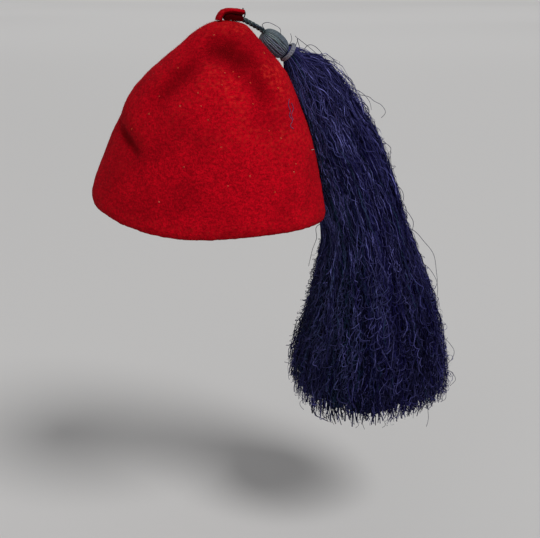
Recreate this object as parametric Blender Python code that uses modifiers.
"""A felted wool chechia: a soft tall cap with a bent felt stalk on top and a large thread tassel.

Metres, +Z up. The origin is the middle of the head opening. The forehead is towards -Y and the
wearer's left towards +X. The cap is tipped back as it sits on a head, and the tassel hangs down
behind its right side, further than the rim.

A turn is an angle in degrees round the cap, from the wearer's left (0) to the back (90).
"""

import math
from collections import namedtuple

import bmesh
import bpy
import numpy as np
from mathutils import Matrix, Vector

# Cap
RIM_LENGTH = 0.197  # forehead to back of head, over the felt
RIM_WIDTH = 0.1445  # ear to ear, over the felt
RIM_WAVE = 0.0051  # how far the rim rises at the forehead and back, and dips at the ears
CROWN_HEIGHT = 0.1497  # rim to crown top, along the cap's own axis
FELT_THICKNESS = 0.0025
RIM_TILT = 3.1  # degrees that the forehead side of the rim is raised
CROWN_COLUMNS = 64
CROWN_RINGS = 26

# Stalk
STALK_WIDTH = 0.0115
STALK_THICKNESS = 0.0032
STALK_LENGTH = 0.018  # from the root's middle to the free end
STALK_ROOT = -0.0075  # where the root stands, along the tassel's turn from the crown's middle
STALK_DROOP = 0.0006  # how much lower the free end is than the arch
STALK_STATIONS = (0, 0.5, 0.85, 1)  # shares of the stalk's length
STALK_WIDTHS = (0.86, 1, 1, 0.82)  # its width there, as a share of its widest
STALK_SQUARENESS = 2.5  # exponent of its section's outline, 2 being an ellipse
STALK_SIDES = 16
STALK_BEND_STEPS = 6

# Tassel
TASSEL_TURN = 130.0
CORD_DIAMETER = 0.0040
CORD_START = -0.0020  # along the tassel's turn from the crown's middle, under the stalk
CORD_LEAVES_CROWN = 0.0130  # from there the cord runs freely to the knot
CORD_POINTS = 22
CORD_SEATS = 7  # places where its height over the crown is measured
CORD_BEVEL_STEPS = 2
KNOT_OUT = 0.0373  # the knot's middle, along the tassel's turn from the crown's middle
KNOT_SLOPE = 36.0  # degrees that the knot's lower end points down
KNOT_RADIUS = 0.0108
KNOT_LENGTH = 0.0228
KNOT_END_RADIUS = 0.0042
KNOT_FULLNESS = 0.75  # exponent of its outline, 1 being an ellipse
KNOT_COLUMNS = 28
NECK_RADIUS = 0.0046
BINDING_WIRE = 0.0017  # radius of the wound thread ring's own section
BINDING_COLUMNS = 28
BINDING_SIDES = 10
NECK_SPARE = 0.0014  # how much longer the neck is than its binding
TASSEL_DROP = 0.306  # neck to lowest threads
TASSEL_REACH = 0.076  # how far further out than the neck the tassel hangs
TASSEL_DEPTH = 0.133  # away from the head
TASSEL_WIDTH = 0.128
SKIRT_COLUMNS = 40
SKIRT_RINGS = 38

# Gap between pieces that touch
GAP = 0.0004
SMALL = 0.00001

# Each column is a share of half the rim's length or width, apart from height, a share of the
# crown's.
Section = namedtuple("Section", "height length width back")
CROWN_SECTIONS = (
    Section(height=0.000, length=1.000, width=1.000, back=-0.030),
    Section(height=0.130, length=0.950, width=0.965, back=-0.029),
    Section(height=0.300, length=0.871, width=0.905, back=-0.011),
    Section(height=0.460, length=0.784, width=0.847, back=0.004),
    Section(height=0.580, length=0.695, width=0.779, back=0.006),
    Section(height=0.700, length=0.586, width=0.689, back=0.035),
    Section(height=0.800, length=0.461, width=0.579, back=0.072),
    Section(height=0.880, length=0.334, width=0.438, back=0.083),
    Section(height=0.940, length=0.237, width=0.321, back=0.087),
    Section(height=0.984, length=0.139, width=0.190, back=0.102),
    Section(height=1.000, length=0.000, width=0.000, back=0.106),
)

# Folds and dents of the soft felt. A path's columns are turn, height as a share of the crown's,
# and depth as a share of FOLD_DEPTH, which is negative where the felt stands out.
FOLD_DEPTH = 0.0055
FOLD_FREE_RADIUS = 0.022  # nearer to the crown's middle than this, a fold gets shallower
FoldPoint = namedtuple("FoldPoint", "turn height depth")
Fold = namedtuple("Fold", "name breadth path")
FOLDS = (
    Fold(
        "valley_towards_back",
        breadth=0.0100,
        path=(
            FoldPoint(2, 0.86, 0.4),
            FoldPoint(38, 0.79, 0.9),
            FoldPoint(54, 0.69, 1.0),
            FoldPoint(60, 0.52, 0.2),
        ),
    ),
    Fold(
        "valley_towards_front",
        breadth=0.0110,
        path=(
            FoldPoint(2, 0.85, 0.3),
            FoldPoint(-6, 0.74, 0.5),
            FoldPoint(-17, 0.65, 0.5),
            FoldPoint(-28, 0.53, 0.1),
        ),
    ),
    Fold(
        "forehead_crease",
        breadth=0.0070,
        path=(
            FoldPoint(-70, 0.47, 0.3),
            FoldPoint(-52, 0.42, 0.8),
            FoldPoint(-40, 0.375, 0.9),
            FoldPoint(-24, 0.30, 0.2),
        ),
    ),
    Fold(
        "forehead_bulge",
        breadth=0.0110,
        path=(
            FoldPoint(-72, 0.62, -0.2),
            FoldPoint(-50, 0.53, -0.4),
            FoldPoint(-28, 0.45, -0.2),
        ),
    ),
    Fold(
        "back_ridge",
        breadth=0.0110,
        path=(
            FoldPoint(62, 0.86, -0.2),
            FoldPoint(80, 0.74, -0.4),
            FoldPoint(84, 0.60, -0.2),
        ),
    ),
    Fold(
        "knot_seat",
        breadth=0.0145,
        path=(
            FoldPoint(TASSEL_TURN, 0.91, 0.7),
            FoldPoint(TASSEL_TURN, 0.85, 1.2),
            FoldPoint(TASSEL_TURN, 0.77, 0.6),
        ),
    ),
    Fold(
        "right_side_hollow",
        breadth=0.0150,
        path=(
            FoldPoint(186, 0.74, 0.3),
            FoldPoint(208, 0.62, 0.6),
            FoldPoint(226, 0.50, 0.2),
        ),
    ),
    Fold(
        "right_temple_crease",
        breadth=0.0085,
        path=(
            FoldPoint(232, 0.44, 0.2),
            FoldPoint(250, 0.38, 0.5),
            FoldPoint(266, 0.36, 0.1),
        ),
    ),
)
KNOT_PROFILE_POINTS = 12
LOWEST_RIDGE = 0.6
RIDGE_POINTS = 400
FOLD_STEPS = 40  # places along a fold's path that a point of the felt is measured from
DENSE_STEPS = 2001  # places that a height's row is looked up in

# The skirt's sections, from the neck down. Drop, reach, depth and width are shares of the
# tassel's sizes of those names.
SkirtSection = namedtuple("SkirtSection", "drop reach depth width")
SKIRT_SECTIONS = (
    SkirtSection(drop=0.027, reach=0.108, depth=0.140, width=0.145),
    SkirtSection(drop=0.050, reach=0.185, depth=0.265, width=0.235),
    SkirtSection(drop=0.100, reach=0.300, depth=0.345, width=0.290),
    SkirtSection(drop=0.200, reach=0.470, depth=0.450, width=0.410),
    SkirtSection(drop=0.320, reach=0.688, depth=0.510, width=0.520),
    SkirtSection(drop=0.460, reach=0.880, depth=0.490, width=0.610),
    SkirtSection(drop=0.600, reach=0.978, depth=0.635, width=0.730),
    SkirtSection(drop=0.740, reach=1.015, depth=0.835, width=0.885),
    SkirtSection(drop=0.860, reach=1.010, depth=0.955, width=0.990),
    SkirtSection(drop=0.940, reach=1.005, depth=0.900, width=0.950),
    SkirtSection(drop=0.985, reach=1.015, depth=0.690, width=0.740),
    SkirtSection(drop=1.000, reach=1.020, depth=0.380, width=0.410),
)
HEIGHT_STEPS = 4
NAPE_CURVE = 1.3  # how the head curves in below the rim, in metres per square metre of depth
SKIRT_CLEARANCE = 0.0011  # between the threads and the felt that they lie on
SKIRT_SQUARENESS = 2.3  # exponent of the sections' outline, 2 being an ellipse
SQUARE_FROM_ROW = 2  # the neck is round, and the sections have their full squareness from this row

FELT_RED = (0.37, 0.006, 0.014)
CORD_GREEN = (0.035, 0.062, 0.072)
KNOT_GREEN = (0.060, 0.090, 0.105)
BINDING_GREY = (0.16, 0.17, 0.20)
THREAD_NAVY = (0.018, 0.017, 0.085)
FELT_ROUGHNESS = 0.95
CORD_ROUGHNESS = 0.7
KNOT_ROUGHNESS = 0.5
THREAD_ROUGHNESS = 0.6


def smooth(rows, at):
    """Catmull-Rom curve through the rows of a table, at row numbers that may lie between them."""
    rows = np.array(rows, float)
    last = len(rows) - 1
    at = np.clip(np.asarray(at, float), 0, last)
    row = np.minimum(at.astype(int), last - 1)
    t = (at - row)[..., None]
    p0, p1 = rows[np.maximum(row - 1, 0)], rows[row]
    p2, p3 = rows[row + 1], rows[np.minimum(row + 2, last)]
    bend = 2 * p0 - 5 * p1 + 4 * p2 - p3
    twist = 3 * (p1 - p2) + p3 - p0
    return p1 + 0.5 * t * ((p2 - p0) + t * (bend + t * twist))


def unfolded_radius(turn, row):
    """Distance from a section's middle to the felt, before any fold. Row is a row of CROWN_SECTIONS."""
    _, length, width, _ = np.moveaxis(smooth(CROWN_SECTIONS, row), -1, 0)
    along_x = np.maximum(width * RIM_WIDTH / 2, SMALL)
    along_y = np.maximum(length * RIM_LENGTH / 2, SMALL)
    angle = np.radians(turn)
    return 1 / np.hypot(np.cos(angle) / along_x, np.sin(angle) / along_y)


def rim_lift(turn, height):
    """How much higher than its section a point lies. The oval of a head lifts the rim at both ends."""
    return -RIM_WAVE * np.cos(2 * np.radians(turn)) * np.clip(1 - height, 0, 1) ** 2


def cap_point(turn, row, radius):
    """A point in the cap's own frame, at this radius from the section's middle."""
    height, _, _, back = np.moveaxis(smooth(CROWN_SECTIONS, row), -1, 0)
    angle = np.radians(turn)
    x = radius * np.cos(angle)
    y = radius * np.sin(angle) + back * RIM_LENGTH / 2
    z = height * CROWN_HEIGHT + rim_lift(turn, height) + 0 * radius
    return np.stack(np.broadcast_arrays(x, y, z), -1)


DENSE_ROWS = np.linspace(0, len(CROWN_SECTIONS) - 1, DENSE_STEPS)
DENSE_HEIGHTS = smooth(CROWN_SECTIONS, DENSE_ROWS)[:, 0]


def row_at(height):
    """The row number of CROWN_SECTIONS at a height, a share of the crown's."""
    return np.interp(height, DENSE_HEIGHTS, DENSE_ROWS)


def fold_depth(turn, row):
    """How far the folds press the felt inwards at these places."""
    place = cap_point(turn, row, unfolded_radius(turn, row))
    total = np.zeros(place.shape[:-1])
    for fold in FOLDS:
        along = smooth(fold.path, np.linspace(0, len(fold.path) - 1, FOLD_STEPS))
        rows = row_at(along[:, 1])
        line = cap_point(along[:, 0], rows, unfolded_radius(along[:, 0], rows))
        away = np.linalg.norm(place[..., None, :] - line, axis=-1)
        shares = along[:, 2] * np.exp(-((away / fold.breadth) ** 2))
        strongest = np.abs(shares).argmax(axis=-1)
        total += np.take_along_axis(shares, strongest[..., None], -1)[..., 0]
    return total * FOLD_DEPTH


def crown_radius(turn, row):
    """Distance from a section's middle to the outside of the felt."""
    radius = unfolded_radius(turn, row)
    depth = fold_depth(turn, row)
    return radius - depth * np.clip(radius / FOLD_FREE_RADIUS, 0, 1)


def tilted():
    """The cap's own frame in the part's frame."""
    return Matrix.Rotation(math.radians(-RIM_TILT), 4, "X")


def to_part(points):
    return np.asarray(points) @ np.array(tilted().to_3x3()).T


def to_cap(points):
    return np.asarray(points) @ np.array(tilted().to_3x3())


def clear_of_cap(points):
    """Moves points of the part's frame that lie in or close to the cap out to just clear of its felt."""
    local = to_cap(points)
    height = local[..., 2] / CROWN_HEIGHT
    for _ in range(HEIGHT_STEPS):
        rows = row_at(np.clip(height, 0, 1))
        back = smooth(CROWN_SECTIONS, rows)[..., 3] * RIM_LENGTH / 2
        x, y = local[..., 0], local[..., 1] - back
        turn = np.degrees(np.arctan2(y, x))
        height = (local[..., 2] - rim_lift(turn, np.clip(height, 0, 1))) / CROWN_HEIGHT
    radius = np.hypot(x, y)
    # Below the rim the head curves in, and the threads that lean on it with it.
    below = np.clip(-height * CROWN_HEIGHT, 0, None)
    least = crown_radius(turn, rows) + SKIRT_CLEARANCE - NAPE_CURVE * below**2
    inside = (height < 1) & (radius < least)
    grown = np.where(inside, least / np.maximum(radius, SMALL), 1)
    moved = np.stack([x * grown, y * grown + back, local[..., 2]], -1)
    return to_part(moved)


def tassel_direction():
    """The tassel's turn as a unit vector, in the cap's own frame."""
    angle = math.radians(TASSEL_TURN)
    return np.array([math.cos(angle), math.sin(angle), 0.0])


def crown_middle():
    """The crown's top, in the cap's frame."""
    return np.array([0.0, CROWN_SECTIONS[-1].back * RIM_LENGTH / 2, CROWN_HEIGHT])


def crown_ridge():
    """(distance from the crown's middle, height) down both sides of the crown, along the tassel's turn."""
    rows = np.linspace(row_at(LOWEST_RIDGE), len(CROWN_SECTIONS) - 1, RIDGE_POINTS)
    sides = []
    for turn in (TASSEL_TURN + 180, TASSEL_TURN):
        turns = np.full(rows.shape, turn)
        points = cap_point(turns, rows, crown_radius(turns, rows))
        sides.append(np.stack([(points - crown_middle()) @ tassel_direction(), points[:, 2]], -1))
    return np.vstack([sides[0], sides[1][::-1]])


def top_height(out):
    """The crown's outer height in the cap's frame, at a distance from its middle along the tassel's turn."""
    ridge = crown_ridge()
    return float(np.interp(out, ridge[:, 0], ridge[:, 1]))


def knot_profile():
    """The knot's outline as (distance along its axis, radius), from its upper end to its lower one."""
    angles = np.linspace(0, math.pi, KNOT_PROFILE_POINTS)
    radius = KNOT_END_RADIUS + (KNOT_RADIUS - KNOT_END_RADIUS) * np.sin(angles) ** KNOT_FULLNESS
    return np.stack([-KNOT_LENGTH / 2 * np.cos(angles), radius], -1)


def knot_frame():
    """(middle, axis pointing down the tassel) of the knot, which rests on the felt, in the part's frame."""
    out = tassel_direction()
    up = np.array([0.0, 0.0, 1.0])
    slope = math.radians(KNOT_SLOPE)
    axis = out * math.cos(slope) - up * math.sin(slope)
    under = -out * math.sin(slope) - up * math.cos(slope)
    lowest = [axis * along + under * radius for along, radius in knot_profile()]
    height = max(top_height(KNOT_OUT + point @ out) - point @ up for point in lowest)
    middle = crown_middle() + out * KNOT_OUT
    middle[2] = height + 2 * GAP / math.cos(slope)
    return to_part(middle), to_part(axis)


def material(name, colour, roughness):
    made = bpy.data.materials.new(name)
    made.use_nodes = True
    shader = made.node_tree.nodes["Principled BSDF"]
    shader.inputs["Base Color"].default_value = (*colour, 1)
    shader.inputs["Roughness"].default_value = roughness
    shader.inputs["Metallic"].default_value = 0
    return made


def add_object(name, data, collection, look, parent=None):
    made = bpy.data.objects.new(name, data)
    collection.objects.link(made)
    made.parent = parent
    data.materials.append(look)
    return made


def loft_mesh(name, rings, start=None, end=None):
    """A mesh through rings of equally many points, closed by fans to the start and end points given."""
    count, columns = rings.shape[:2]
    mesh = bmesh.new()
    grid = [[mesh.verts.new(point) for point in ring] for ring in rings]
    for low, high in zip(grid, grid[1:]):
        for i in range(columns):
            j = (i + 1) % columns
            mesh.faces.new((low[i], low[j], high[j], high[i]))
    for tip, ring, turned in ((start, grid[0], True), (end, grid[-1], False)):
        if tip is None:
            continue
        middle = mesh.verts.new(tip)
        for i in range(columns):
            j = (i + 1) % columns
            mesh.faces.new((ring[j], ring[i], middle) if turned else (ring[i], ring[j], middle))
    data = bpy.data.meshes.new(name)
    mesh.to_mesh(data)
    mesh.free()
    data.shade_smooth()
    return data


def build_felt_cap(collection, frame, look):
    """One seamless felt shell, open at the rim."""
    last = len(CROWN_SECTIONS) - 1
    rows = np.linspace(0, last, CROWN_RINGS + 1)[:-1, None]
    turns = np.linspace(0, 360, CROWN_COLUMNS, endpoint=False)[None, :]
    rings = cap_point(turns, rows + 0 * turns, crown_radius(turns + 0 * rows, rows + 0 * turns))
    cap = add_object("felt_cap", loft_mesh("felt_cap", rings, end=crown_middle()), collection, look, frame)
    shell = cap.modifiers.new("felt", "SOLIDIFY")
    shell.thickness = FELT_THICKNESS
    shell.offset = -1
    shell.use_even_offset = True
    return cap


def outline(angles, squareness):
    """(sideways, outwards) of a rounded outline of half sizes 1, squarer than an ellipse."""
    sideways = np.sign(np.cos(angles)) * np.abs(np.cos(angles)) ** (2 / squareness)
    outwards = np.sign(np.sin(angles)) * np.abs(np.sin(angles)) ** (2 / squareness)
    return sideways[:, None], outwards[:, None]


def stalk_path():
    """(distance from the crown's middle, height) along the stalk, in the tassel's direction."""
    arch = CROWN_HEIGHT + 2 * GAP + CORD_DIAMETER + STALK_THICKNESS / 2
    root = top_height(STALK_ROOT) + GAP
    bend = arch - root
    turning = np.linspace(0, math.pi / 2, STALK_BEND_STEPS)
    rise = np.stack([STALK_ROOT + bend * (1 - np.cos(turning)), arch - bend * (1 - np.sin(turning))], -1)
    share = np.linspace(0, 1, STALK_BEND_STEPS)[1:]
    straight = STALK_LENGTH - bend
    run = np.stack([STALK_ROOT + bend + straight * share, arch - STALK_DROOP * share**2], -1)
    return np.vstack([rise, run])


def build_crown_stalk(collection, frame, look):
    """A felt tongue that stands on the crown's top and is bent over towards the tassel."""
    out = tassel_direction()
    up = np.array([0.0, 0.0, 1.0])
    side = np.cross(up, out)
    path = stalk_path()
    tangents = np.gradient(path, axis=0)
    tangents /= np.linalg.norm(tangents, axis=1, keepdims=True)
    widths = np.interp(np.linspace(0, 1, len(path)), STALK_STATIONS, STALK_WIDTHS)
    sideways, outwards = outline(
        np.linspace(0, 2 * math.pi, STALK_SIDES, endpoint=False), STALK_SQUARENESS
    )
    rings = []
    for (along, height), (run, rise), width in zip(path, tangents, widths):
        middle = crown_middle() * (1, 1, 0) + out * along + up * height
        across = side * STALK_WIDTH / 2 * width
        thick = (up * run - out * rise) * STALK_THICKNESS / 2
        rings.append(middle + sideways * across + outwards * thick)
    # The root's end follows the crown under it.
    for point in rings[0]:
        away = float((point - crown_middle()) @ out)
        point[2] = max(point[2], top_height(away) + GAP)
    rings = np.array(rings)
    data = loft_mesh("crown_stalk", rings, start=rings[0].mean(0), end=rings[-1].mean(0))
    return add_object("crown_stalk", data, collection, look, frame)


def build_tassel_knot(collection, look):
    """The wound knot at the tassel's head, a turned form with a small flat at each end."""
    profile = bmesh.new()
    points = [(0, 0, KNOT_LENGTH / 2)]
    points += [(radius, 0, -along) for along, radius in knot_profile()]
    points.append((0, 0, -KNOT_LENGTH / 2))
    made = [profile.verts.new(p) for p in points]
    for a, b in zip(made, made[1:]):
        profile.edges.new((a, b))
    data = bpy.data.meshes.new("tassel_knot")
    profile.to_mesh(data)
    profile.free()
    knot = add_object("tassel_knot", data, collection, look)
    turned = knot.modifiers.new("turned", "SCREW")
    turned.axis = "Z"
    turned.steps = KNOT_COLUMNS
    turned.render_steps = KNOT_COLUMNS
    turned.use_merge_vertices = True
    turned.merge_threshold = SMALL
    turned.use_smooth_shade = True
    middle, axis = knot_frame()
    knot.location = middle
    knot.rotation_euler = Vector(-axis).to_track_quat("Z", "Y").to_euler()
    return knot


def build_tassel_cord(collection, look):
    """The cord from under the stalk, over the crown, to the knot."""
    middle, axis = knot_frame()
    end = middle - axis * (KNOT_LENGTH / 2 + GAP)
    lift = CORD_DIAMETER / 2 + GAP
    over_crown = []
    for out in np.linspace(CORD_START, CORD_LEAVES_CROWN, CORD_SEATS):
        point = crown_middle() + tassel_direction() * out
        point[2] = top_height(out) + lift
        over_crown.append(to_part(point))
    route = np.array([*over_crown, end - axis * CORD_DIAMETER, end])
    points = smooth(route, np.linspace(0, len(route) - 1, CORD_POINTS))
    curve = bpy.data.curves.new("tassel_cord", "CURVE")
    curve.dimensions = "3D"
    curve.bevel_depth = CORD_DIAMETER / 2
    curve.bevel_resolution = CORD_BEVEL_STEPS
    curve.use_fill_caps = True
    line = curve.splines.new("POLY")
    line.points.add(len(points) - 1)
    for place, point in zip(line.points, points):
        place.co = (*point, 1)
    return add_object("tassel_cord", curve, collection, look)


def neck_point(along):
    """A point on the knot's axis, at a distance past its lower end."""
    middle, axis = knot_frame()
    return middle + axis * (KNOT_LENGTH / 2 + along)


def build_tassel_binding(collection, look):
    """The ring of thread wound round the neck, between the knot and the skirt."""
    _, axis = knot_frame()
    turn = Vector(axis).to_track_quat("Z", "Y").to_euler()
    bpy.ops.mesh.primitive_torus_add(
        major_segments=BINDING_COLUMNS,
        minor_segments=BINDING_SIDES,
        major_radius=NECK_RADIUS + GAP + BINDING_WIRE,
        minor_radius=BINDING_WIRE,
        location=Vector(neck_point(GAP + BINDING_WIRE)),
        rotation=turn,
    )
    ring = bpy.context.object
    ring.name = "tassel_binding"
    for owner in list(ring.users_collection):
        owner.objects.unlink(ring)
    collection.objects.link(ring)
    ring.data.materials.append(look)
    ring.data.shade_smooth()
    return ring


def build_tassel_skirt(collection, look):
    """The outer form of all the hanging threads, one closed solid. Its inner side lies on the cap."""
    _, axis = knot_frame()
    out = to_part(tassel_direction())
    out[2] = 0
    out /= np.linalg.norm(out)
    side = np.cross((0.0, 0.0, 1.0), out)
    start = neck_point(GAP)
    table = np.array(SKIRT_SECTIONS)
    down = np.array([0.0, 0.0, -1.0])
    spine = start + table[:, 1:2] * TASSEL_REACH * out + table[:, 0:1] * TASSEL_DROP * down
    halves = table[:, 2:4] * (TASSEL_DEPTH / 2, TASSEL_WIDTH / 2)
    # The neck comes straight out of the knot, through the binding.
    neck = 2 * BINDING_WIRE + NECK_SPARE
    spine = np.vstack([start + axis * neck, spine])
    halves = np.vstack([(NECK_RADIUS, NECK_RADIUS), halves])
    rows = np.linspace(0, len(spine) - 1, SKIRT_RINGS)
    middles, sizes = smooth(spine, rows), smooth(halves, rows)
    tangents = np.gradient(middles, axis=0)
    tangents[0] = axis
    tangents /= np.linalg.norm(tangents, axis=1, keepdims=True)
    angles = np.linspace(0, 2 * math.pi, SKIRT_COLUMNS, endpoint=False)
    rings = []
    for row, middle, (half_depth, half_width), tangent in zip(rows, middles, sizes, tangents):
        outward = np.cross(tangent, side)
        outward *= np.sign(outward @ out)
        squareness = 2 + (SKIRT_SQUARENESS - 2) * min(1.0, row / SQUARE_FROM_ROW)
        sideways, outwards = outline(angles, squareness)
        ring = middle + sideways * half_width * side + outwards * half_depth * outward
        rings.append(clear_of_cap(ring) if row else ring)
    rings.insert(0, rings[0] - axis * neck)
    rings = np.array(rings)
    data = loft_mesh("tassel_skirt", rings, start=rings[0].mean(0), end=rings[-1].mean(0))
    return add_object("tassel_skirt", data, collection, look)


def main():
    for old in list(bpy.data.objects):
        bpy.data.objects.remove(old)
    collection = bpy.data.collections.new("chechia")
    bpy.context.scene.collection.children.link(collection)
    frame = bpy.data.objects.new("cap_frame", None)
    collection.objects.link(frame)
    frame.matrix_world = tilted()
    felt = material("felt_red", FELT_RED, FELT_ROUGHNESS)
    build_felt_cap(collection, frame, felt)
    build_crown_stalk(collection, frame, felt)
    build_tassel_cord(collection, material("cord_green", CORD_GREEN, CORD_ROUGHNESS))
    build_tassel_knot(collection, material("knot_green", KNOT_GREEN, KNOT_ROUGHNESS))
    build_tassel_binding(collection, material("binding_grey", BINDING_GREY, CORD_ROUGHNESS))
    build_tassel_skirt(collection, material("thread_navy", THREAD_NAVY, THREAD_ROUGHNESS))


main()
